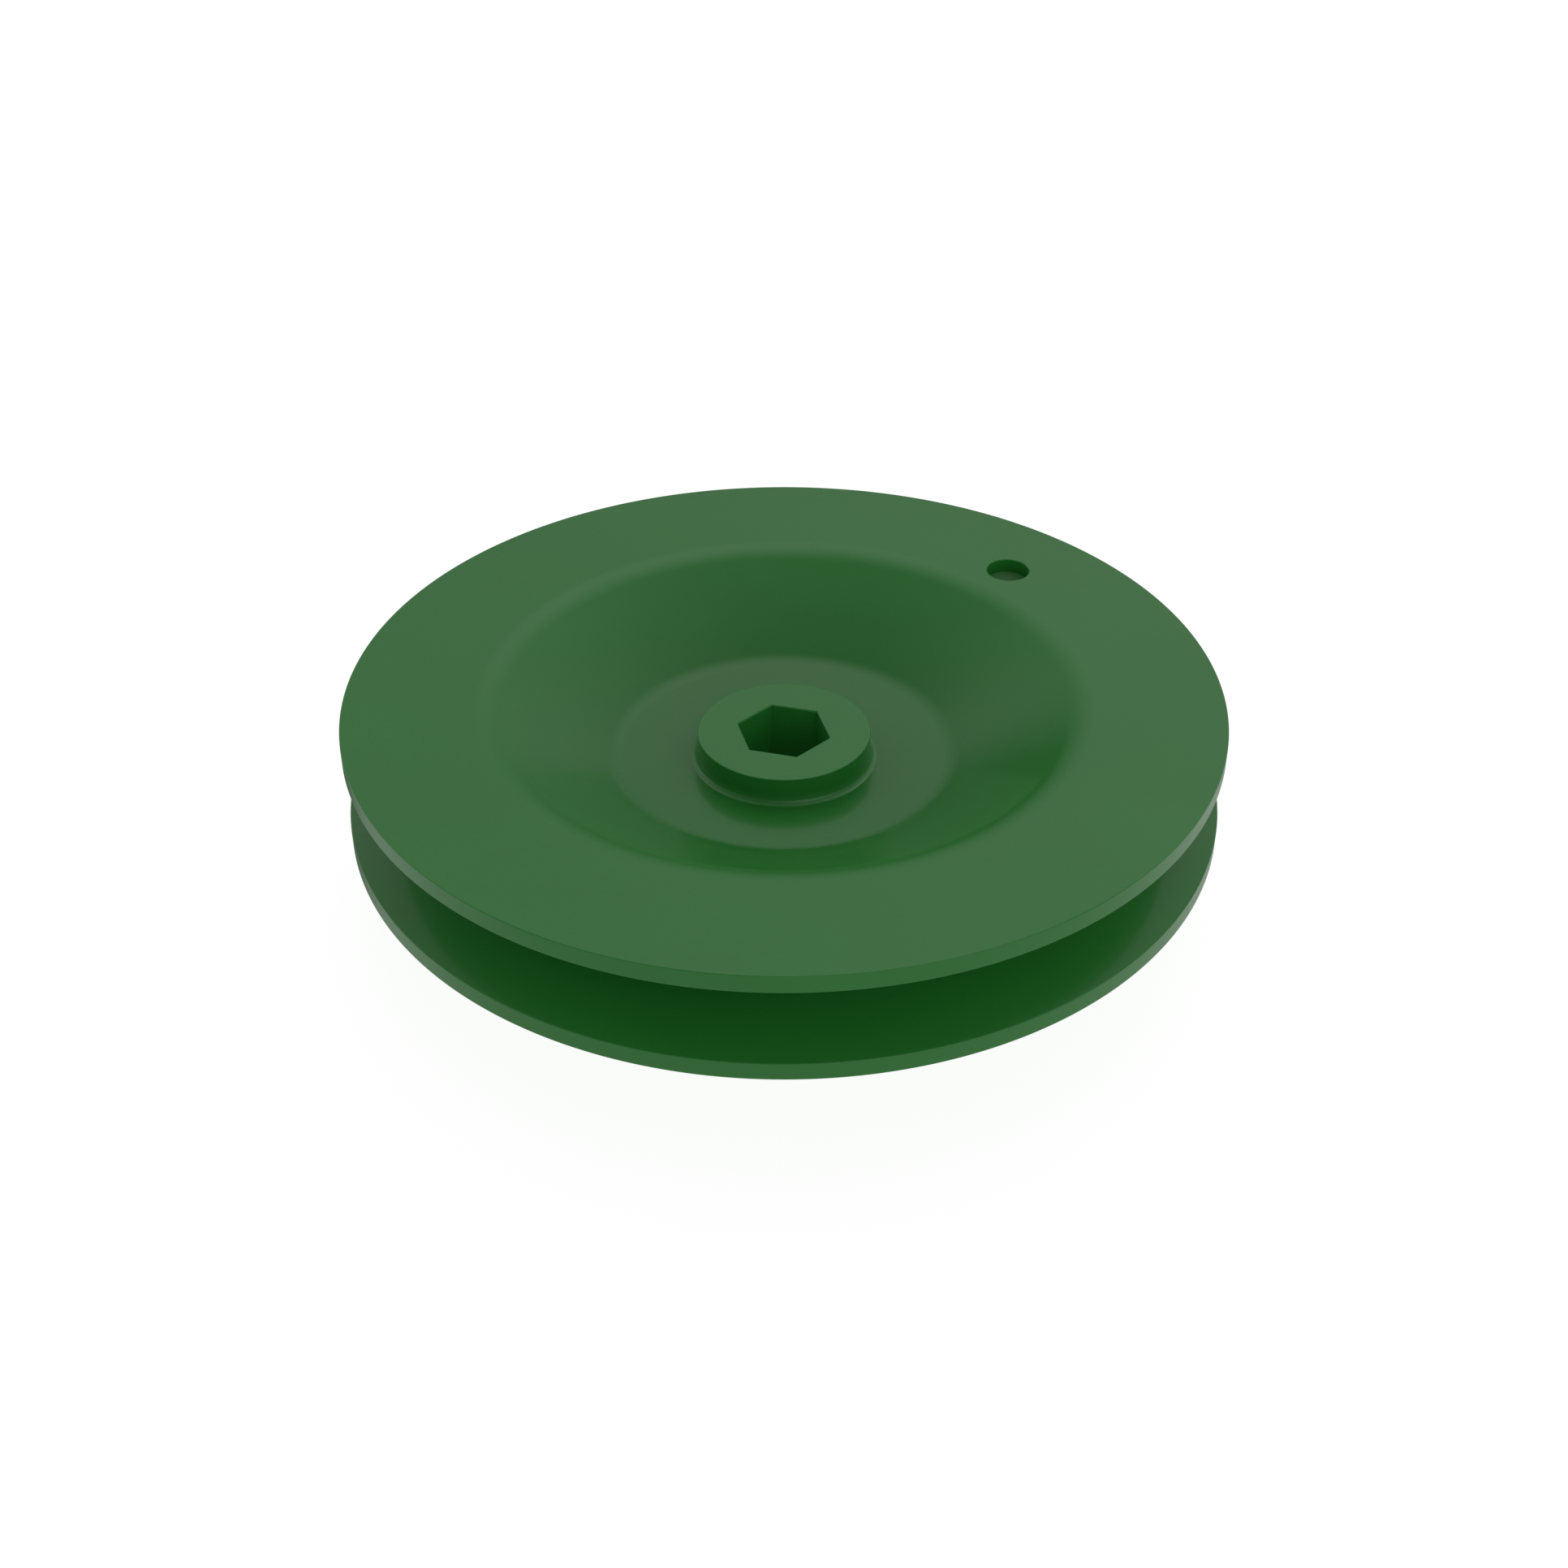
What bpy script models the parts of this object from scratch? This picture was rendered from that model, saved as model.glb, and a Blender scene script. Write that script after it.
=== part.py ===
"""V belt pulley: a two-half steel sheave welded to a hub with a hexagonal bore.

Metres, +Z up. The origin is on the shaft axis at the hub's lower end face, and the
balance hole lies on the +Y side. Every round piece is turned from a profile of
(radius, height) points; the two halves meet at the middle plane of the belt groove.
"""
import math

import bpy
import bmesh
from mathutils import Vector

# Rim and belt groove
OUTER_RADIUS = 0.100
OVERALL_WIDTH = 0.02664         # between the two flange faces
RIM_EDGE = 0.00415              # height of each flange's cylindrical edge
GROOVE_HALF_ANGLE = math.radians(19.0)
GROOVE_DEPTH = 0.019
GROOVE_ROOT_RADIUS = 0.0022

# Dish pressed into the upper half, and the webs of both halves
DISH_DEPTH = 0.0162             # from the upper flange face down to the foot of the cone
FLOOR_FALL = 0.0010             # how much lower the dish floor lies at the hub
DISH_SLOPE = math.radians(30.0)
DISH_TOP_RADIUS = 0.0672        # where the flat face and the cone would meet
UPPER_BEND_RADIUS = 0.013
LOWER_BEND_RADIUS = 0.009
WEB_THICKNESS = 0.0036          # of the upper web at the hub
BACK_RECESS_DEPTH = 0.0023      # recess in the lower half's outer face
BACK_RECESS_RADIUS = 0.070
BACK_BEND_RADIUS = 0.004

# Hub
HUB_RADIUS = 0.01994
HUB_LENGTH = 0.041
HUB_PROJECTION = 0.025          # of the hub below the lower flange face
HUB_CHAMFER = 0.001
HEX_ACROSS_FLATS = 0.01905      # 3/4 in hexagonal shaft
UPPER_WELD_LEG = 0.0024
LOWER_WELD_LEG = 0.0040

# Balance hole, drilled into the upper flange with a 118 degree point
BALANCE_HOLE_RADIUS = 0.00522
BALANCE_HOLE_DEPTH = 0.00346
BALANCE_HOLE_CENTRE = 0.0787
DRILL_POINT_HALF_ANGLE = math.radians(59.0)

# Projection welds that join the two halves between groove and dish
NUGGET_COUNT = 12
NUGGET_CIRCLE = 0.066
NUGGET_RADIUS = 0.0035
NUGGET_THICKNESS = 0.0018

GAP = 0.0003                    # clearance between neighbouring pieces
ROUND_STEPS = 72
SMALL_ROUND_STEPS = 24
BEAD_SEGMENTS = 4
BEAD_EDGE_SHARE = 0.12          # blunt edge of a weld bead, as a share of its leg
CUT_MARGIN = 0.001              # how far a cutter reaches past the face it opens
SHARP_ANGLE = math.radians(35.0)

# Heights worked out from the values above
LOWER_FACE = HUB_PROJECTION
UPPER_FACE = LOWER_FACE + OVERALL_WIDTH
MID_PLANE = LOWER_FACE + OVERALL_WIDTH / 2
CONE_FOOT = UPPER_FACE - DISH_DEPTH
DISH_FLOOR = CONE_FOOT - FLOOR_FALL     # at the hub
UPPER_WEB_UNDERSIDE = DISH_FLOOR - WEB_THICKNESS
LOWER_WEB_TOP = UPPER_WEB_UNDERSIDE - GAP
LOWER_WEB_UNDERSIDE = LOWER_FACE + BACK_RECESS_DEPTH
WEB_BORE_RADIUS = HUB_RADIUS + GAP
GROOVE_ROOT = OUTER_RADIUS - GROOVE_DEPTH
GROOVE_ROOT_HALF_WIDTH = (OVERALL_WIDTH / 2 - RIM_EDGE
                          - GROOVE_DEPTH * math.tan(GROOVE_HALF_ANGLE))

PAINT = (0.0285, 0.266, 0.0366, 1.0)
BARE_STEEL = (0.46, 0.45, 0.43, 1.0)


def clear_scene():
    for scene_object in list(bpy.data.objects):
        bpy.data.objects.remove(scene_object, do_unlink=True)


def make_collection(name):
    collection = bpy.data.collections.new(name)
    bpy.context.scene.collection.children.link(collection)
    return collection


def make_material(name, colour, roughness, metallic):
    material = bpy.data.materials.new(name)
    material.use_nodes = True
    shader = material.node_tree.nodes["Principled BSDF"]
    shader.inputs["Base Color"].default_value = colour
    shader.inputs["Roughness"].default_value = roughness
    shader.inputs["Metallic"].default_value = metallic
    return material


def rounded_corner(before, corner, after, radius, segments):
    """Points of the arc that rounds a profile's corner."""
    before, corner, after = Vector(before), Vector(corner), Vector(after)
    towards_before = (before - corner).normalized()
    towards_after = (after - corner).normalized()
    half_angle = towards_before.angle(towards_after) / 2
    bisector = (towards_before + towards_after).normalized()
    centre = corner + bisector * radius / math.sin(half_angle)
    reach = radius / math.tan(half_angle)
    start = corner + towards_before * reach - centre
    end = corner + towards_after * reach - centre
    start_angle = math.atan2(start.y, start.x)
    sweep = (math.atan2(end.y, end.x) - start_angle + math.pi) % math.tau - math.pi
    angles = [start_angle + sweep * step / segments for step in range(segments + 1)]
    return [(centre.x + radius * math.cos(angle), centre.y + radius * math.sin(angle))
            for angle in angles]


def rounded_profile(points, bends):
    """Profile with some corners rounded; bends maps a corner's index to (radius, segments)."""
    profile = []
    for index, point in enumerate(points):
        if index in bends:
            radius, segments = bends[index]
            profile += rounded_corner(points[index - 1], point, points[index + 1], radius, segments)
        else:
            profile.append(point)
    return profile


def turned(name, collection, profile, closed, steps=ROUND_STEPS):
    """Turn a profile of (radius, height) points about the shaft axis."""
    mesh = bpy.data.meshes.new(name)
    shape = bmesh.new()
    corners = [shape.verts.new((radius, 0.0, height)) for radius, height in profile]
    for first, second in zip(corners, corners[1:]):
        shape.edges.new((first, second))
    if closed:
        shape.edges.new((corners[-1], corners[0]))
    shape.to_mesh(mesh)
    shape.free()
    piece = bpy.data.objects.new(name, mesh)
    collection.objects.link(piece)
    screw = piece.modifiers.new("Turn", "SCREW")
    screw.axis = "Z"
    screw.angle = math.tau
    screw.steps = steps
    screw.render_steps = steps
    screw.use_merge_vertices = True
    screw.merge_threshold = 0.00001
    return piece


def round_cutter(name, collection, location, radius, height, sides):
    """Prism centred on a location, used to cut other pieces."""
    mesh = bpy.data.meshes.new(name)
    shape = bmesh.new()
    bmesh.ops.create_cone(shape, cap_ends=True, segments=sides,
                          radius1=radius, radius2=radius, depth=height)
    shape.to_mesh(mesh)
    shape.free()
    cutter = bpy.data.objects.new(name, mesh)
    cutter.location = location
    collection.objects.link(cutter)
    return cutter


def hide_cutter(cutter):
    cutter.hide_render = True
    cutter.display_type = "WIRE"


def cut(piece, cutter):
    hide_cutter(cutter)
    boolean = piece.modifiers.new("Cut " + cutter.name, "BOOLEAN")
    boolean.operation = "DIFFERENCE"
    boolean.solver = "EXACT"
    boolean.object = cutter


def finish(piece, material):
    """Give a piece its material and smooth shading on its round surfaces."""
    piece.data.materials.append(material)
    dependencies = bpy.context.evaluated_depsgraph_get()
    mesh = bpy.data.meshes.new_from_object(piece.evaluated_get(dependencies))
    piece.modifiers.clear()
    piece.data = mesh
    mesh.name = piece.name
    mesh.shade_smooth()
    mesh.set_sharp_from_angle(angle=SHARP_ANGLE)


def cone_radius(height, drop=0.0):
    """Radius of the dish's cone at a height, or of the same cone moved down by drop."""
    return DISH_TOP_RADIUS - (UPPER_FACE - height - drop) / math.tan(DISH_SLOPE)


def nugget_places():
    for number in range(NUGGET_COUNT):
        angle = math.tau * (number + 0.5) / NUGGET_COUNT
        yield number + 1, Vector((NUGGET_CIRCLE * math.cos(angle),
                                  NUGGET_CIRCLE * math.sin(angle), MID_PLANE))


def cut_nugget_pockets(piece, cutters):
    """Shallow pockets in the joint face, one for each projection weld."""
    for number, place in nugget_places():
        pocket = round_cutter(f"{piece.name}_pocket_{number:02d}", cutters, place,
                              NUGGET_RADIUS + GAP, NUGGET_THICKNESS + 2 * GAP, SMALL_ROUND_STEPS)
        cut(piece, pocket)


def build_upper_half(parts, cutters):
    """Flat flange, upper groove wall and the dished web."""
    joint = MID_PLANE + GAP / 2
    web_drop = WEB_THICKNESS / math.cos(DISH_SLOPE)
    points = [
        (OUTER_RADIUS, UPPER_FACE),
        (OUTER_RADIUS, UPPER_FACE - RIM_EDGE),
        (GROOVE_ROOT, MID_PLANE + GROOVE_ROOT_HALF_WIDTH),
        (GROOVE_ROOT, joint),
        (cone_radius(joint, web_drop), joint),
        (cone_radius(UPPER_WEB_UNDERSIDE, web_drop), UPPER_WEB_UNDERSIDE),
        (WEB_BORE_RADIUS, UPPER_WEB_UNDERSIDE),
        (WEB_BORE_RADIUS, DISH_FLOOR),
        (cone_radius(CONE_FOOT), CONE_FOOT),
        (DISH_TOP_RADIUS, UPPER_FACE),
        (OUTER_RADIUS, UPPER_FACE),
    ]
    bends = {2: (GROOVE_ROOT_RADIUS, 3), 8: (LOWER_BEND_RADIUS, 4), 9: (UPPER_BEND_RADIUS, 4)}
    profile = rounded_profile(points, bends)[:-1]
    half = turned("upper_sheave_half", parts, profile, closed=True)
    cut_nugget_pockets(half, cutters)
    cut(half, build_balance_drill(cutters))
    finish(half, make_material("upper_half_paint", PAINT, 0.30, 0.0))


def build_balance_drill(cutters):
    """Cutter of the balance hole: a drilled cylinder with its conical point."""
    point_depth = BALANCE_HOLE_RADIUS / math.tan(DRILL_POINT_HALF_ANGLE)
    profile = [
        (0.0, CUT_MARGIN),
        (BALANCE_HOLE_RADIUS, CUT_MARGIN),
        (BALANCE_HOLE_RADIUS, -BALANCE_HOLE_DEPTH),
        (0.0, -BALANCE_HOLE_DEPTH - point_depth),
    ]
    drill = turned("balance_drill", cutters, profile, closed=False, steps=SMALL_ROUND_STEPS)
    drill.location = (0.0, BALANCE_HOLE_CENTRE, UPPER_FACE)
    return drill


def build_lower_half(parts, cutters):
    """Lower groove wall and the web that lies under the dish, with a recessed back."""
    joint = MID_PLANE - GAP / 2
    web_drop = (WEB_THICKNESS + GAP) / math.cos(DISH_SLOPE)
    recess_run = BACK_RECESS_DEPTH / math.tan(DISH_SLOPE)
    points = [
        (GROOVE_ROOT, joint),
        (GROOVE_ROOT, MID_PLANE - GROOVE_ROOT_HALF_WIDTH),
        (OUTER_RADIUS, LOWER_FACE + RIM_EDGE),
        (OUTER_RADIUS, LOWER_FACE),
        (BACK_RECESS_RADIUS, LOWER_FACE),
        (BACK_RECESS_RADIUS - recess_run, LOWER_WEB_UNDERSIDE),
        (WEB_BORE_RADIUS, LOWER_WEB_UNDERSIDE),
        (WEB_BORE_RADIUS, LOWER_WEB_TOP),
        (cone_radius(LOWER_WEB_TOP, web_drop), LOWER_WEB_TOP),
        (cone_radius(joint, web_drop), joint),
    ]
    bends = {1: (GROOVE_ROOT_RADIUS, 3), 4: (BACK_BEND_RADIUS, 2), 5: (BACK_BEND_RADIUS, 2)}
    half = turned("lower_sheave_half", parts, rounded_profile(points, bends), closed=True)
    cut_nugget_pockets(half, cutters)
    finish(half, make_material("lower_half_paint", PAINT, 0.30, 0.0))


def build_hub(parts, cutters):
    """Turned hub with the hexagonal bore right through it."""
    profile = [
        (0.0, HUB_LENGTH),
        (HUB_RADIUS, HUB_LENGTH),
        (HUB_RADIUS, HUB_CHAMFER),
        (HUB_RADIUS - HUB_CHAMFER, 0.0),
        (0.0, 0.0),
    ]
    hub = turned("hub", parts, profile, closed=False)
    hex_radius = HEX_ACROSS_FLATS / math.sqrt(3.0)
    broach = round_cutter("hex_broach", cutters, (0.0, 0.0, HUB_LENGTH / 2),
                          hex_radius, HUB_LENGTH + 2 * CUT_MARGIN, 6)
    cut(hub, broach)
    finish(hub, make_material("hub_paint", PAINT, 0.32, 0.0))


def build_fillet_weld(parts, name, web_face, direction, leg):
    """Concave weld bead in the corner of hub and web; direction is +1 above a web, -1 below."""
    root = web_face + direction * GAP
    edge = leg * BEAD_EDGE_SHARE
    centre = Vector((WEB_BORE_RADIUS + leg, root + direction * leg))
    bead = [(WEB_BORE_RADIUS, root), (WEB_BORE_RADIUS + leg, root)]
    for step in range(BEAD_SEGMENTS + 1):
        angle = math.pi / 2 * step / BEAD_SEGMENTS
        bead.append((centre.x - (leg - edge) * math.sin(angle),
                     centre.y - direction * (leg - edge) * math.cos(angle)))
    bead.append((WEB_BORE_RADIUS, root + direction * leg))
    if direction > 0:
        bead.reverse()
    weld = turned(name, parts, bead, closed=True)
    finish(weld, make_material(name + "_paint", PAINT, 0.34, 0.0))


def build_nuggets(parts):
    """Weld nuggets in the pockets between the halves."""
    steel = make_material("nugget_steel", BARE_STEEL, 0.45, 1.0)
    for number, place in nugget_places():
        nugget = round_cutter(f"weld_nugget_{number:02d}", parts, place,
                              NUGGET_RADIUS, NUGGET_THICKNESS, SMALL_ROUND_STEPS)
        finish(nugget, steel)


def main():
    clear_scene()
    parts = make_collection("v_belt_pulley")
    cutters = make_collection("cutters")
    build_upper_half(parts, cutters)
    build_lower_half(parts, cutters)
    build_hub(parts, cutters)
    build_fillet_weld(parts, "upper_hub_weld", DISH_FLOOR, 1, UPPER_WELD_LEG)
    build_fillet_weld(parts, "lower_hub_weld", LOWER_WEB_UNDERSIDE, -1, LOWER_WELD_LEG)
    build_nuggets(parts)


main()
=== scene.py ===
"""Looks of the V belt pulley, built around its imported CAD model.

Metres, in the frame of the CAD: +Z along the shaft, the balance hole on the +Y side.
The sheave halves, the hub and the weld beads are turned again here as fine smooth
meshes with broken edges; the weld nuggets sealed between the halves stay as they are.
"""
import math

import bpy
import bmesh
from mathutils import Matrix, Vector


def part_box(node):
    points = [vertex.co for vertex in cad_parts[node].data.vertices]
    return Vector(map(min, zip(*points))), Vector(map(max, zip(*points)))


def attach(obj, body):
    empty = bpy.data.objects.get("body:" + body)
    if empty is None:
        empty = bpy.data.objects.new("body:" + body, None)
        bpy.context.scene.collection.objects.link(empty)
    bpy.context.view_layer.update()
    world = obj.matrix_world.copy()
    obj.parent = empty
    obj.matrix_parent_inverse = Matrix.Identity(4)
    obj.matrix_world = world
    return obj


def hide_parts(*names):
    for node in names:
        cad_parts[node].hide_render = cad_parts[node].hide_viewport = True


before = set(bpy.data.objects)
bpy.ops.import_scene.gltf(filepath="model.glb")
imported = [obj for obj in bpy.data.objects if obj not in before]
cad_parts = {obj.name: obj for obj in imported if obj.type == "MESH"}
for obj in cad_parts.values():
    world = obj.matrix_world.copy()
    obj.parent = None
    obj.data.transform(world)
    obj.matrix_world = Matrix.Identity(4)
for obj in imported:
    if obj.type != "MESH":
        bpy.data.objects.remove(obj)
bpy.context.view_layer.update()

# Sheave
OUTER_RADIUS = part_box("upper_sheave_half")[1].x
UPPER_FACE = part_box("upper_sheave_half")[1].z
LOWER_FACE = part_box("lower_sheave_half")[0].z
MID_PLANE = (LOWER_FACE + UPPER_FACE) / 2
RIM_EDGE = 0.00415              # height of each flange's cylindrical edge
GROOVE_HALF_ANGLE = math.radians(19.0)
GROOVE_DEPTH = 0.019
GROOVE_BEND_RADIUS = 0.0022     # between the groove's wall and its floor
GROOVE_ROOT = OUTER_RADIUS - GROOVE_DEPTH       # radius of the groove's floor
GROOVE_ROOT_HALF_WIDTH = (MID_PLANE - LOWER_FACE - RIM_EDGE
                          - GROOVE_DEPTH * math.tan(GROOVE_HALF_ANGLE))
JOINT_HALF_GAP = 0.00008        # fine seam between the halves at the groove's floor
EDGE_BREAK = 0.00018            # radius of the flanges' edges under the paint
SEAM_BREAK = 0.00035            # radius of the halves' edges along that seam

# Dish and webs
DISH_DEPTH = 0.0162             # to where the cone would meet the floor without a bend
FLOOR_FALL = 0.0010             # how much lower the dish's floor is at the hub
CONE_FOOT = UPPER_FACE - DISH_DEPTH
DISH_FLOOR = CONE_FOOT - FLOOR_FALL
DISH_SLOPE = math.radians(30.0)
DISH_TOP_RADIUS = 0.0672        # where the cone would meet the flange without a bend
UPPER_BEND_RADIUS = 0.013       # from the flange into the cone
LOWER_BEND_RADIUS = 0.009       # from the cone into the floor
DISH_EDGE_RADIUS = 0.071        # just outside the upper bend
WEB_THICKNESS = 0.0036
WEB_GAP = 0.0003                # between the two webs, hidden inside
UPPER_WEB_UNDERSIDE = DISH_FLOOR - WEB_THICKNESS
LOWER_WEB_TOP = UPPER_WEB_UNDERSIDE - WEB_GAP
BACK_RECESS_DEPTH = 0.0023      # of the shallow recess in the lower flange's face
BACK_RECESS_RADIUS = 0.070
BACK_BEND_RADIUS = 0.004
LOWER_WEB_UNDERSIDE = LOWER_FACE + BACK_RECESS_DEPTH

# Hub and its welds
HUB_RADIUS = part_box("hub")[1].x
HUB_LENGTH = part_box("hub")[1].z
HUB_TOP_BREAK = 0.00018         # radius of the hub's upper edge
HUB_CHAMFER = 0.001             # round the hub's lower end
HEX_APOTHEM = 0.01905 / 2       # half the distance across the bore's flats
HEX_MOUTH_BREAK = 0.00025       # bevel at both ends of the bore
UPPER_WELD_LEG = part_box("upper_hub_weld")[1].x - HUB_RADIUS
LOWER_WELD_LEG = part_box("lower_hub_weld")[1].x - HUB_RADIUS
UPPER_WELD_HOLLOW = 1.3         # a thin bead; weld_bead() says what hollow means
LOWER_WELD_HOLLOW = 0.67        # a fuller one
WELD_OVERLAP = 0.0004           # how far a bead's metal reaches into hub and web
RIPPLE_COUNT = 74               # of the lower bead
RIPPLE_HEIGHT = 0.00009
RIPPLE_SHARE = 0.6              # of the ripple height; the bead's slow wander is added to it
RIPPLE_LAG = 3.2                # radians by which a ripple's middle trails its ends
WANDER_WAVES = (                # (share of the ripple height, waves per turn, phase)
    (0.35, 3, 0.6),
    (0.25, 7, 2.1),
)

# Balance hole
HOLE_CENTRE = Vector((0.0, 0.0787, UPPER_FACE))
HOLE_RADIUS = 0.00522
HOLE_DEPTH = 0.00346
HOLE_EDGE_BREAK = 0.00015
DRILL_POINT_HALF_ANGLE = math.radians(59.0)
CUTTER_HEAD = 0.001             # how far the cutting solid stands out of the flange

# Mesh fineness
ROUND_STEPS = 288               # a multiple of 12, so that the hexagon's corners are met
RIPPLED_STEPS = 4 * ROUND_STEPS
HOLE_STEPS = 96
EDGE_STEPS = 4                  # steps in the arc of a broken edge
ROOT_STEPS = 8                  # in the bends of the groove's floor and of the back's recess
DISH_STEPS = 24                 # in each of the dish's two bends
BEAD_SECTIONS = 18              # from a bead's toe on the hub to its toe on the web
FACE_LOOPS = (0.33, 0.67)       # where loops lie between the bore and the hub's outside
SMOOTH_ANGLE = math.radians(32.0)       # edges that bend more than this stay sharp
HOLD = 0.00020                  # distance of the edge loops that hold a rounded corner
THIN_MARK = "thin_coat"         # mesh attribute, 1 on edges where the paint draws back
DISH_SHADE_MARK = "painted_dish_shade"   # mesh attribute for painted shade, up to 1 towards the dish's floor

# Camera
CAMERA_TARGET = Vector((0.0, 0.0, UPPER_FACE / 2))
CAMERA_DISTANCE = 0.51084
CAMERA_AZIMUTH = math.radians(45.0)
CAMERA_ELEVATION = math.radians(35.264)
CAMERA_LENS = 50.0              # millimetres, as is the sensor's width
CAMERA_SENSOR = 36.0
CAMERA_CLIP = 0.01

# Studio: pale walls with soft lights high behind the object, behind it on both sides and
# in front of it to the right, and a dark patch low behind it. A light is (strength,
# bearing, elevation, sharpness); a bearing is in degrees clockwise from straight behind
# the object, as the camera sees it.
WALL_LEVEL = 0.316              # brightness at the horizon
WALL_TILT = -0.229              # the wall's change from the horizon to overhead
STUDIO_LIGHTS = (
    (0.856, 11.9, 57.9, 7.2),
    (0.932, -55.6, 0.0, 6.9),
    (0.588, 144.8, 25.8, 7.9),
    (0.331, 57.4, -8.3, 5.3),
    (-0.927, -20.1, -13.4, 8.0),
)
DARKEST_WALL = 0.017            # the least brightness anywhere in the studio

# Floor and backdrop, which only the camera sees
STAGE_RADIUS = 6.0
FLOOR_STEPS = 96
DOME_STEPS = 64
FLOOR_GAP = 0.0002              # keeps the floor clear of the hub's end
BACKDROP_GLOW = 1.0
FLOOR_GLOW = 0.92
FLOOR_COLOUR = (0.25, 0.25, 0.25, 1.0)

# Paint. Its roughness goes no lower, because denoising then draws jagged lines where the
# paint is seen at a grazing angle; the smooth skin gives it its gloss instead.
PAINT = (0.0285, 0.266, 0.0366)
THIN_COAT = (0.037, 0.290, 0.046)       # where the coat draws back from an edge
COLOUR_SPREAD = 0.04                    # how far patches go from the paint's mean colour
MOTTLE_SHARE = 0.3                      # of that spread; the broad patches have the rest
DISH_SHADE_STRENGTH = 0.15                # how much darker the painted shade makes the colour at the dish's floor
PAINT_ROUGHNESS = (0.276, 0.292)        # from the smoothest patches to the dullest
PAINT_IOR = 1.42
SKIN_WEIGHT = 0.26                      # the enamel's smooth outer skin
BEAD_SKIN_WEIGHT = 0.5                  # the same on the upper bead, where wet paint gathers
SKIN_ROUGHNESS = 0.10
PEEL_HEIGHT = 0.000005                  # orange peel
PEEL_STRENGTH = 0.4
BEAD_PEEL = 1.5                         # times the other pieces' peel and grain
GRAIN_HEIGHT = 0.000001
GRAIN_STRENGTH = 0.5
TOOL_MARK_HEIGHT = 0.000001
TOOL_MARK_STRENGTH = 0.5
TOOL_FEED = 0.00045                     # distance between the lathe tool's marks

# Fused steel of the nuggets
BARE_STEEL = (0.46, 0.45, 0.43)
STEEL_SHADES = (0.55, 1.05)             # times that colour, under scale and where it is clean
STEEL_ROUGHNESS = (0.34, 0.58)
STEEL_GRAIN_HEIGHT = 0.00004
STEEL_GRAIN_STRENGTH = 0.6

# Noises: (features per metre, finer layers, strength of each layer beside the last)
PATCH_NOISE = (22.0, 3.0, 0.5)
MOTTLE_NOISE = (620.0, 2.0, 0.5)
GLOSS_NOISE = (85.0, 4.0, 0.6)
PEEL_NOISE = (130.0, 2.0, 0.5)
GRAIN_NOISE = (700.0, 2.0, 0.45)
STEEL_SCALE_NOISE = (700.0, 4.0, 0.6)
STEEL_GLOSS_NOISE = (1200.0, 3.0, 0.5)
STEEL_GRAIN_NOISE = (1600.0, 3.0, 0.5)
NOISE_SPAN = (0.3, 0.7)                 # values that a noise seldom leaves
STEEL_SCALE_SPAN = (0.35, 0.65)         # a narrower span gives the scale harder edges


# ---------------------------------------------------------------- profiles and meshes

def rounded_corner(before, corner, after, radius, segments):
    """Arc that rounds a profile's corner, with a point on each side that holds it."""
    before, corner, after = Vector(before), Vector(corner), Vector(after)
    towards_before = (before - corner).normalized()
    towards_after = (after - corner).normalized()
    half_angle = towards_before.angle(towards_after) / 2
    bisector = (towards_before + towards_after).normalized()
    centre = corner + bisector * radius / math.sin(half_angle)
    reach = radius / math.tan(half_angle)
    start = corner + towards_before * reach
    end = corner + towards_after * reach
    start_angle = math.atan2(start.y - centre.y, start.x - centre.x)
    end_angle = math.atan2(end.y - centre.y, end.x - centre.x)
    sweep = (end_angle - start_angle + math.pi) % math.tau - math.pi
    arc = [tuple(start + towards_before * HOLD)]
    for step in range(segments + 1):
        angle = start_angle + sweep * step / segments
        arc.append((centre.x + radius * math.cos(angle), centre.y + radius * math.sin(angle)))
    arc.append(tuple(end + towards_after * HOLD))
    return arc


def rounded_profile(points, bends):
    """Closed profile with rounded corners.

    points are its corners and bends maps a corner's index to (radius, segments).
    """
    profile = []
    for index, point in enumerate(points):
        if index in bends:
            radius, segments = bends[index]
            after = points[(index + 1) % len(points)]
            profile += rounded_corner(points[index - 1], point, after, radius, segments)
        else:
            profile.append(point)
    return profile


def full_turn(steps):
    """Angles of a full turn in even steps."""
    return [math.tau * step / steps for step in range(steps)]


def ring_mesh(name, rings, steps=ROUND_STEPS):
    """Closed piece from rings about the shaft axis.

    A ring maps an angle to (radius, height). The last ring is joined to the first.
    """
    vertices = []
    for ring in rings:
        for angle in full_turn(steps):
            radius, height = ring(angle)
            vertices.append((radius * math.cos(angle), radius * math.sin(angle), height))
    faces = []
    for first in range(len(rings)):
        second = (first + 1) % len(rings)
        for step in range(steps):
            following = (step + 1) % steps
            faces.append((first * steps + step, first * steps + following,
                          second * steps + following, second * steps + step))
    mesh = bpy.data.meshes.new(name)
    mesh.from_pydata(vertices, [], faces)
    return mesh_object(name, mesh)


def mesh_object(name, mesh):
    """Link a mesh as a new object, with its faces turned outwards."""
    shape = bmesh.new()
    shape.from_mesh(mesh)
    bmesh.ops.recalc_face_normals(shape, faces=shape.faces)
    shape.to_mesh(mesh)
    shape.free()
    piece = bpy.data.objects.new(name, mesh)
    bpy.context.scene.collection.objects.link(piece)
    return piece


def shape_object(name, shape):
    """Link a bmesh as a new object; the bmesh is used up."""
    mesh = bpy.data.meshes.new(name)
    shape.to_mesh(mesh)
    shape.free()
    return mesh_object(name, mesh)


def constant_ring(radius, height):
    """Circular ring, the same at every angle."""
    return lambda angle: (radius, height)


def turned(name, profile):
    """Piece turned from a closed profile of (radius, height)."""
    return ring_mesh(name, [constant_ring(radius, height) for radius, height in profile])


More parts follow.
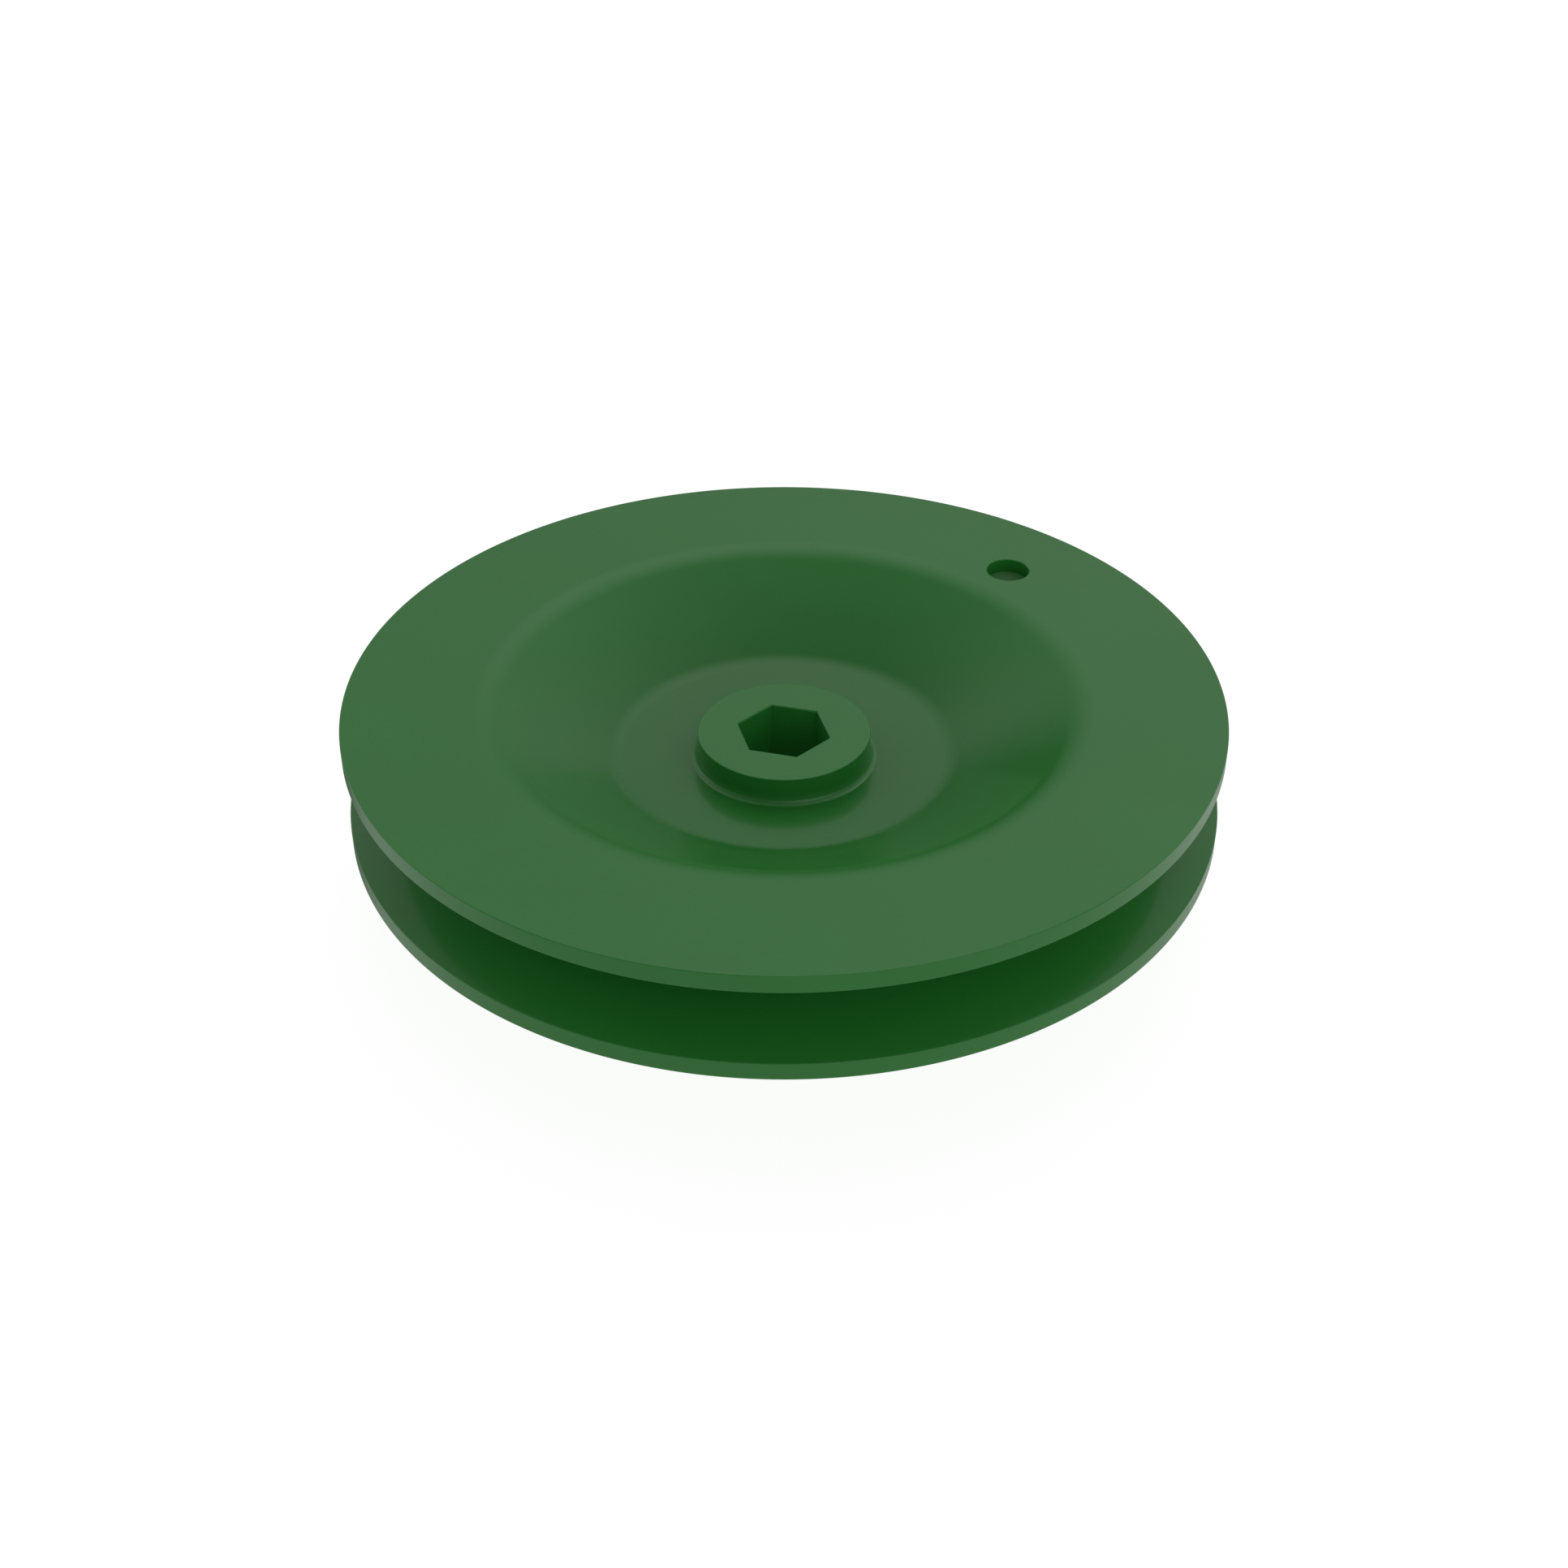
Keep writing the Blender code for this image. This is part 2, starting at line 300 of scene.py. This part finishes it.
def smooth(piece):
    """Shade a piece smooth, apart from its sharp edges."""
    piece.data.shade_smooth()
    piece.data.set_sharp_from_angle(angle=SMOOTH_ANGLE)


def mark_edges(piece, edges, reach):
    """Mark a turned piece's vertices near its edges, (radius, height), as thinly coated."""
    thin = piece.data.attributes.new(THIN_MARK, "FLOAT", "POINT")
    for vertex, mark in zip(piece.data.vertices, thin.data):
        spot = Vector((math.hypot(vertex.co.x, vertex.co.y), vertex.co.z))
        nearest = min((spot - Vector(edge)).length for edge in edges)
        mark.value = 1.0 if nearest < reach else 0.0


def mark_dish_shade(piece):
    """Mark the dish's depth for its painted shade: 0 at the flange's face, 1 on the floor."""
    dish_shade = piece.data.attributes.new(DISH_SHADE_MARK, "FLOAT", "POINT")
    for vertex, mark in zip(piece.data.vertices, dish_shade.data):
        if math.hypot(vertex.co.x, vertex.co.y) < DISH_EDGE_RADIUS:
            mark.value = min(1.0, (UPPER_FACE - vertex.co.z) / (UPPER_FACE - DISH_FLOOR))


def drill(piece, cutter):
    """Cut a piece with a cutter, keep the result as its mesh and remove the cutter."""
    boolean = piece.modifiers.new("Drill", "BOOLEAN")
    boolean.operation = "DIFFERENCE"
    boolean.solver = "EXACT"
    boolean.object = cutter
    dependencies = bpy.context.evaluated_depsgraph_get()
    mesh = bpy.data.meshes.new_from_object(piece.evaluated_get(dependencies))
    piece.modifiers.clear()
    piece.data = mesh
    mesh.name = piece.name
    bpy.data.objects.remove(cutter, do_unlink=True)


def cone_radius(height, drop=0.0):
    """Radius of the dish's cone at a height, or of the same cone moved down by drop."""
    return DISH_TOP_RADIUS - (UPPER_FACE - height - drop) / math.tan(DISH_SLOPE)


# ---------------------------------------------------------------- pieces

def upper_half():
    """Flat flange, upper groove wall and dished web, with the drilled balance hole."""
    joint = MID_PLANE + JOINT_HALF_GAP
    web_drop = WEB_THICKNESS / math.cos(DISH_SLOPE)
    points = [
        (OUTER_RADIUS, UPPER_FACE),
        (OUTER_RADIUS, UPPER_FACE - RIM_EDGE),
        (GROOVE_ROOT, MID_PLANE + GROOVE_ROOT_HALF_WIDTH),
        (GROOVE_ROOT, joint),
        (cone_radius(joint, web_drop), joint),
        (cone_radius(UPPER_WEB_UNDERSIDE, web_drop), UPPER_WEB_UNDERSIDE),
        (HUB_RADIUS, UPPER_WEB_UNDERSIDE),
        (HUB_RADIUS, DISH_FLOOR),
        (cone_radius(CONE_FOOT), CONE_FOOT),
        (DISH_TOP_RADIUS, UPPER_FACE),
    ]
    bends = {0: (EDGE_BREAK, EDGE_STEPS), 1: (EDGE_BREAK, EDGE_STEPS),
             2: (GROOVE_BEND_RADIUS, ROOT_STEPS), 3: (SEAM_BREAK, EDGE_STEPS),
             8: (LOWER_BEND_RADIUS, DISH_STEPS), 9: (UPPER_BEND_RADIUS, DISH_STEPS)}
    half = turned("upper_half", rounded_profile(points, bends))
    drill(half, hole_cutter())
    smooth(half)
    mark_edges(half, points[0:2], EDGE_BREAK)
    # where the dish gets its painted shade
    mark_dish_shade(half)
    return half


def hole_cutter():
    """Solid of the drill: its conical point, its cylinder and the broken edge at the mouth."""
    point_depth = HOLE_RADIUS / math.tan(DRILL_POINT_HALF_ANGLE)
    profile = [
        (HOLE_RADIUS + HOLE_EDGE_BREAK + CUTTER_HEAD, CUTTER_HEAD),
        (HOLE_RADIUS, -HOLE_EDGE_BREAK),
        (HOLE_RADIUS, -HOLE_DEPTH),
    ]
    shape = bmesh.new()
    loops = []
    for radius, height in profile:
        circle = [(radius * math.cos(angle), radius * math.sin(angle), height)
                  for angle in full_turn(HOLE_STEPS)]
        loops.append([shape.verts.new(point) for point in circle])
    tip = shape.verts.new((0.0, 0.0, -HOLE_DEPTH - point_depth))
    for upper, lower in zip(loops, loops[1:]):
        for step in range(HOLE_STEPS):
            following = (step + 1) % HOLE_STEPS
            shape.faces.new((upper[step], upper[following], lower[following], lower[step]))
    for step in range(HOLE_STEPS):
        shape.faces.new((loops[-1][step], loops[-1][(step + 1) % HOLE_STEPS], tip))
    shape.faces.new(loops[0])
    cutter = shape_object("drill", shape)
    cutter.location = HOLE_CENTRE
    return cutter


def lower_half():
    """Lower groove wall and flange, with the web under the dish and its recessed back."""
    joint = MID_PLANE - JOINT_HALF_GAP
    web_drop = (WEB_THICKNESS + WEB_GAP) / math.cos(DISH_SLOPE)
    recess_run = BACK_RECESS_DEPTH / math.tan(DISH_SLOPE)
    points = [
        (GROOVE_ROOT, joint),
        (GROOVE_ROOT, MID_PLANE - GROOVE_ROOT_HALF_WIDTH),
        (OUTER_RADIUS, LOWER_FACE + RIM_EDGE),
        (OUTER_RADIUS, LOWER_FACE),
        (BACK_RECESS_RADIUS, LOWER_FACE),
        (BACK_RECESS_RADIUS - recess_run, LOWER_WEB_UNDERSIDE),
        (HUB_RADIUS, LOWER_WEB_UNDERSIDE),
        (HUB_RADIUS, LOWER_WEB_TOP),
        (cone_radius(LOWER_WEB_TOP, web_drop), LOWER_WEB_TOP),
        (cone_radius(joint, web_drop), joint),
    ]
    bends = {0: (SEAM_BREAK, EDGE_STEPS), 1: (GROOVE_BEND_RADIUS, ROOT_STEPS),
             2: (EDGE_BREAK, EDGE_STEPS), 3: (EDGE_BREAK, EDGE_STEPS),
             4: (BACK_BEND_RADIUS, ROOT_STEPS), 5: (BACK_BEND_RADIUS, ROOT_STEPS)}
    half = turned("lower_half", rounded_profile(points, bends))
    smooth(half)
    mark_edges(half, points[2:4], EDGE_BREAK)
    return half


def hexagon_ring(apothem, height):
    """Ring on a hexagon whose corners lie on the +Y and -Y sides."""
    def ring(angle):
        off_flat = (angle + math.pi / 6) % (math.pi / 3) - math.pi / 6
        return apothem / math.cos(off_flat), height
    return ring


def blended_ring(first, second, share):
    """Ring between two others, a share of the way from the first to the second."""
    def ring(angle):
        return tuple(a + (b - a) * share for a, b in zip(first(angle), second(angle)))
    return ring


def hub():
    """Turned hub with the hexagonal bore: down its wall, in, up the bore and back out."""
    profile = rounded_corner((0.0, HUB_LENGTH), (HUB_RADIUS, HUB_LENGTH), (HUB_RADIUS, 0.0),
                             HUB_TOP_BREAK, EDGE_STEPS)
    profile += [
        (HUB_RADIUS, HUB_CHAMFER + HOLD),
        (HUB_RADIUS, HUB_CHAMFER),
        (HUB_RADIUS - HUB_CHAMFER, 0.0),
        (HUB_RADIUS - HUB_CHAMFER - HOLD, 0.0),
    ]
    turned_rings = [constant_ring(radius, height) for radius, height in profile]
    mouth = HEX_APOTHEM + HEX_MOUTH_BREAK
    bore = [
        hexagon_ring(mouth + HOLD, 0.0),
        hexagon_ring(mouth, 0.0),
        hexagon_ring(HEX_APOTHEM, HEX_MOUTH_BREAK),
        hexagon_ring(HEX_APOTHEM, HEX_MOUTH_BREAK + HOLD),
        hexagon_ring(HEX_APOTHEM, HUB_LENGTH - HEX_MOUTH_BREAK - HOLD),
        hexagon_ring(HEX_APOTHEM, HUB_LENGTH - HEX_MOUTH_BREAK),
        hexagon_ring(mouth, HUB_LENGTH),
        hexagon_ring(mouth + HOLD, HUB_LENGTH),
    ]
    lower_face = [blended_ring(turned_rings[-1], bore[0], share) for share in FACE_LOOPS]
    upper_face = [blended_ring(bore[-1], turned_rings[0], share) for share in FACE_LOOPS]
    piece = ring_mesh("hub_body", turned_rings + lower_face + bore + upper_face)
    smooth(piece)
    mark_edges(piece, [(HUB_RADIUS, HUB_LENGTH)], HUB_TOP_BREAK)
    return piece


def wander(angle):
    """Slow unevenness of a bead at an angle, as a share of its ripple height."""
    return sum(share * math.sin(waves * angle + phase) for share, waves, phase in WANDER_WAVES)


def bead_ring(web_face, direction, leg, hollow, ripple, share):
    """Ring of a bead's face; share is 0 at its toe on the hub and 1 at its toe on the web.

    The ripples stand out along the corner's diagonal, most in the middle of the face.
    """
    arch = math.sin(math.pi * share)
    turn = math.pi / 2 * share
    out_share = (1.0 - math.cos(turn)) ** hollow
    up_share = (1.0 - math.sin(turn)) ** hollow

    def ring(angle):
        wave = RIPPLE_SHARE * math.cos(RIPPLE_COUNT * angle + RIPPLE_LAG * arch)
        lift = ripple * arch * (wave + wander(angle)) / math.sqrt(2.0)
        reach = leg + ripple * wander(angle)
        return (HUB_RADIUS + out_share * reach + lift,
                web_face + direction * (up_share * reach + lift))
    return ring


def weld_bead(name, web_face, direction, leg, hollow, ripple):
    """Fillet weld in the corner of hub and web; direction is +1 above a web, -1 below.

    hollow is 1 for a face that is a quarter circle, less for a fuller bead and more for one
    whose toes run out thin. ripple is the height of the freezing rings left by the arc.
    """
    rings = [bead_ring(web_face, direction, leg, hollow, ripple, step / BEAD_SECTIONS)
             for step in range(BEAD_SECTIONS + 1)]
    buried = HUB_RADIUS - WELD_OVERLAP
    under = web_face - direction * WELD_OVERLAP
    rings.append(constant_ring(HUB_RADIUS + leg, under))
    rings.append(constant_ring(buried, under))
    rings.append(constant_ring(buried, web_face + direction * leg))
    bead = ring_mesh(name, rings, RIPPLED_STEPS if ripple else ROUND_STEPS)
    smooth(bead)
    return bead


# ---------------------------------------------------------------- materials

# Numbers of a mix node's sockets for colours, whose names stand for several sockets
MIX_FACTOR, MIX_FIRST, MIX_SECOND = 0, 6, 7
MIX_RESULT = 2


class Nodes:
    """Short ways to add nodes to a material's or world's tree."""

    def __init__(self, tree):
        self.tree = tree
        self.coordinates = tree.nodes.new("ShaderNodeTexCoord")

    def add(self, kind, inputs=None, **settings):
        """New node with settings; an input is linked to a socket or set to a value."""
        node = self.tree.nodes.new(kind)
        for setting, value in settings.items():
            setattr(node, setting, value)
        for socket, value in (inputs or {}).items():
            if isinstance(value, bpy.types.NodeSocket):
                self.tree.links.new(value, node.inputs[socket])
            else:
                node.inputs[socket].default_value = value
        return node

    def noise(self, scale, detail, roughness):
        """Value of a noise that is fixed to the piece."""
        node = self.add("ShaderNodeTexNoise",
                        {"Vector": self.coordinates.outputs["Object"], "Scale": scale,
                         "Detail": detail, "Roughness": roughness})
        return node.outputs["Fac"]

    def math(self, operation, *values):
        """Result of an operation on numbers or sockets."""
        node = self.add("ShaderNodeMath", dict(enumerate(values)), operation=operation)
        return node.outputs[0]

    def spread(self, value, low, high, span=NOISE_SPAN):
        """Map a noise's span of values to the range from low to high."""
        node = self.add("ShaderNodeMapRange",
                        {"Value": value, "From Min": span[0], "From Max": span[1],
                         "To Min": low, "To Max": high})
        return node.outputs["Result"]

    def mixed(self, factor, first, second):
        """Mix of two colours, from the first at 0 to the second at 1."""
        inputs = {MIX_FACTOR: factor, MIX_FIRST: first, MIX_SECOND: second}
        return self.add("ShaderNodeMix", inputs, data_type="RGBA").outputs[MIX_RESULT]

    def bump(self, height, distance, strength, before=None):
        """Normal bent by a height, on top of another bump's if there is one before it."""
        inputs = {"Height": height, "Distance": distance, "Strength": strength}
        if before is not None:
            inputs["Normal"] = before
        return self.add("ShaderNodeBump", inputs).outputs["Normal"]

    def drive(self, shader, colour, roughness, normal):
        """Link the parts of a finish to its shader."""
        self.tree.links.new(colour, shader.inputs["Base Color"])
        self.tree.links.new(roughness, shader.inputs["Roughness"])
        self.tree.links.new(normal, shader.inputs["Normal"])


def scaled(colour, factor):
    """Opaque colour that is a factor times another."""
    return tuple(channel * factor for channel in colour) + (1.0,)


def new_material(name):
    """Material with its nodes and its shader."""
    material = bpy.data.materials.new(name)
    material.use_nodes = True
    nodes = Nodes(material.node_tree)
    return material, nodes, material.node_tree.nodes["Principled BSDF"]


def paint(name, peel=1.0, tool_marks=False, skin=SKIN_WEIGHT):
    """Semi-gloss sprayed enamel.

    Broad patches where the coat is a little thicker and deeper in colour, fine orange
    peel, edges where the coat draws back, painted shade that darkens the colour towards the
    dish's floor, and on request the marks of a turning tool that show through it. peel
    multiplies the height of its fine texture, and skin is the strength of its smooth outer
    reflection.
    """
    material, nodes, shader = new_material(name)
    patches = nodes.noise(*PATCH_NOISE)
    mottle = nodes.noise(*MOTTLE_NOISE)
    blend = nodes.math("ADD", nodes.math("MULTIPLY", patches, 1.0 - MOTTLE_SHARE),
                       nodes.math("MULTIPLY", mottle, MOTTLE_SHARE))
    depth = nodes.spread(blend, 0.0, 1.0)
    colour = nodes.mixed(depth, scaled(PAINT, 1.0 - COLOUR_SPREAD),
                         scaled(PAINT, 1.0 + COLOUR_SPREAD))
    edges = nodes.add("ShaderNodeAttribute", attribute_name=THIN_MARK).outputs["Fac"]
    colour = nodes.mixed(nodes.math("MULTIPLY", edges, mottle), colour, scaled(THIN_COAT, 1.0))
    # Painted shade: the colour darkens towards the dish's floor, standing in for the shade in
    # that hollow.
    dish_shade = nodes.add("ShaderNodeAttribute", attribute_name=DISH_SHADE_MARK).outputs["Fac"]
    shade = nodes.math("MULTIPLY_ADD", dish_shade, -DISH_SHADE_STRENGTH, 1.0)
    colour = nodes.add("ShaderNodeVectorMath", {0: colour, "Scale": shade},
                       operation="SCALE").outputs["Vector"]
    roughness = nodes.spread(nodes.noise(*GLOSS_NOISE), *PAINT_ROUGHNESS)

    normal = nodes.bump(nodes.noise(*PEEL_NOISE), PEEL_HEIGHT * peel, PEEL_STRENGTH)
    normal = nodes.bump(nodes.noise(*GRAIN_NOISE), GRAIN_HEIGHT * peel, GRAIN_STRENGTH, normal)
    if tool_marks:
        normal = nodes.bump(turning_rings(nodes), TOOL_MARK_HEIGHT, TOOL_MARK_STRENGTH, normal)

    nodes.drive(shader, colour, roughness, normal)
    nodes.tree.links.new(normal, shader.inputs["Coat Normal"])
    shader.inputs["IOR"].default_value = PAINT_IOR
    shader.inputs["Coat Weight"].default_value = skin
    shader.inputs["Coat Roughness"].default_value = SKIN_ROUGHNESS
    return material


def turning_rings(nodes):
    """Height of fine rings about the shaft axis, as a lathe tool leaves them.

    They follow one another along the radius on a face and along the height on a wall.
    """
    split = nodes.add("ShaderNodeSeparateXYZ", {"Vector": nodes.coordinates.outputs["Object"]})
    radius = nodes.math("SQRT", nodes.math(
        "ADD", nodes.math("MULTIPLY", split.outputs["X"], split.outputs["X"]),
        nodes.math("MULTIPLY", split.outputs["Y"], split.outputs["Y"])))
    along = nodes.math("ADD", radius, split.outputs["Z"])
    return nodes.math("SINE", nodes.math("MULTIPLY", along, math.tau / TOOL_FEED))


def bare_steel(name):
    """Fused steel with a grey scale, for the nuggets inside."""
    material, nodes, shader = new_material(name)
    scale = nodes.spread(nodes.noise(*STEEL_SCALE_NOISE), 0.0, 1.0, STEEL_SCALE_SPAN)
    darkest, cleanest = (scaled(BARE_STEEL, shade) for shade in STEEL_SHADES)
    colour = nodes.mixed(scale, darkest, cleanest)
    roughness = nodes.spread(nodes.noise(*STEEL_GLOSS_NOISE), *STEEL_ROUGHNESS)
    normal = nodes.bump(nodes.noise(*STEEL_GRAIN_NOISE), STEEL_GRAIN_HEIGHT,
                        STEEL_GRAIN_STRENGTH)
    nodes.drive(shader, colour, roughness, normal)
    shader.inputs["Metallic"].default_value = 1.0
    return material


# ---------------------------------------------------------------- studio

def studio_light():
    """Pale walls with soft lights and a dark patch, all fixed to the object's frame."""
    world = bpy.data.worlds.new("studio")
    bpy.context.scene.world = world
    world.use_nodes = True
    nodes = Nodes(world.node_tree)
    direction = nodes.coordinates.outputs["Generated"]
    height = nodes.add("ShaderNodeSeparateXYZ", {"Vector": direction}).outputs["Z"]
    level = nodes.math("MULTIPLY_ADD", height, WALL_TILT, WALL_LEVEL)
    for strength, bearing, elevation, sharpness in STUDIO_LIGHTS:
        centre = direction_from(bearing, elevation)
        facing = nodes.add("ShaderNodeVectorMath", {0: direction, 1: centre},
                           operation="DOT_PRODUCT").outputs["Value"]
        off_centre = nodes.math("MULTIPLY_ADD", facing, sharpness, -sharpness)
        falloff = nodes.math("EXPONENT", off_centre)
        level = nodes.math("MULTIPLY_ADD", falloff, strength, level)
    background = world.node_tree.nodes["Background"]
    background.inputs["Color"].default_value = (1.0, 1.0, 1.0, 1.0)
    lit = nodes.math("MAXIMUM", level, DARKEST_WALL)
    world.node_tree.links.new(lit, background.inputs["Strength"])


def direction_from(bearing, elevation):
    """Unit vector towards a bearing and elevation, in degrees as in STUDIO_LIGHTS."""
    turn = -CAMERA_AZIMUTH + math.radians(bearing)
    rise = math.radians(elevation)
    return Vector((math.sin(turn) * math.cos(rise), math.cos(turn) * math.cos(rise),
                   math.sin(rise)))


def glowing_material(name, glow):
    """Material of a stage surface, with its nodes and its glow, not joined to an output."""
    material = bpy.data.materials.new(name)
    material.use_nodes = True
    material.node_tree.nodes.clear()
    nodes = Nodes(material.node_tree)
    return material, nodes, nodes.add("ShaderNodeEmission", {"Strength": glow}).outputs[0]


def studio_floor():
    """Pale floor under the hub, lit a little from within so that its shadow stays faint.

    It is clear from below, so that the underside can be looked at.
    """
    shape = bmesh.new()
    bmesh.ops.create_circle(shape, cap_ends=True, segments=FLOOR_STEPS, radius=STAGE_RADIUS)
    floor = shape_object("floor", shape)
    floor.location.z = -FLOOR_GAP
    material, nodes, glow = glowing_material("pale_floor", FLOOR_GLOW)
    white = nodes.add("ShaderNodeBsdfDiffuse", {"Color": FLOOR_COLOUR}).outputs[0]
    lit = nodes.add("ShaderNodeAddShader", {0: white, 1: glow}).outputs[0]
    clear = nodes.add("ShaderNodeBsdfTransparent").outputs[0]
    from_below = nodes.add("ShaderNodeNewGeometry").outputs["Backfacing"]
    seen = nodes.add("ShaderNodeMixShader", {0: from_below, 1: lit, 2: clear}).outputs[0]
    nodes.add("ShaderNodeOutputMaterial", {"Surface": seen})
    floor.data.materials.append(material)
    only_for_the_camera(floor)


def backdrop():
    """Plain white dome behind everything."""
    shape = bmesh.new()
    bmesh.ops.create_uvsphere(shape, u_segments=DOME_STEPS, v_segments=DOME_STEPS // 2,
                              radius=STAGE_RADIUS)
    dome = shape_object("backdrop", shape)
    material, nodes, glow = glowing_material("white_backdrop", BACKDROP_GLOW)
    nodes.add("ShaderNodeOutputMaterial", {"Surface": glow})
    dome.data.materials.append(material)
    only_for_the_camera(dome)
    dome.visible_shadow = False


def only_for_the_camera(surface):
    """Keep a stage surface from lighting the object or showing in its paint."""
    surface.visible_diffuse = False
    surface.visible_glossy = False


def camera():
    """Camera at the photograph's viewing angle."""
    data = bpy.data.cameras.new("camera")
    data.lens = CAMERA_LENS
    data.sensor_width = CAMERA_SENSOR
    data.clip_start = CAMERA_CLIP
    view = bpy.data.objects.new("camera", data)
    bpy.context.scene.collection.objects.link(view)
    towards = Vector((math.sin(CAMERA_AZIMUTH) * math.cos(CAMERA_ELEVATION),
                      -math.cos(CAMERA_AZIMUTH) * math.cos(CAMERA_ELEVATION),
                      math.sin(CAMERA_ELEVATION)))
    view.location = CAMERA_TARGET + towards * CAMERA_DISTANCE
    view.rotation_mode = "QUATERNION"
    view.rotation_quaternion = (-towards).to_track_quat("-Z", "Y")
    bpy.context.scene.camera = view


# ---------------------------------------------------------------- scene

def place(piece, node, material):
    """A new piece that stands for a CAD node, with the given material; the node is hidden."""
    piece.data.materials.clear()
    piece.data.materials.append(material)
    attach(piece, "root")
    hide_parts(node)


camera()
studio_light()
studio_floor()
backdrop()
bpy.context.scene.view_settings.view_transform = "Standard"

place(upper_half(), "upper_sheave_half", paint("upper_half_enamel"))
place(lower_half(), "lower_sheave_half", paint("lower_half_enamel"))
place(hub(), "hub", paint("hub_enamel", tool_marks=True))
place(weld_bead("upper_bead", DISH_FLOOR, 1, UPPER_WELD_LEG, UPPER_WELD_HOLLOW, 0.0),
      "upper_hub_weld",
      paint("upper_bead_enamel", peel=BEAD_PEEL, skin=BEAD_SKIN_WEIGHT))
place(weld_bead("lower_bead", LOWER_WEB_UNDERSIDE, -1, LOWER_WELD_LEG, LOWER_WELD_HOLLOW,
                RIPPLE_HEIGHT),
      "lower_hub_weld", paint("lower_bead_enamel", peel=BEAD_PEEL))

steel = bare_steel("nugget_fused_steel")
for node_name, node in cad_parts.items():
    if node_name.startswith("weld_nugget"):
        node.data.materials.clear()
        node.data.materials.append(steel)
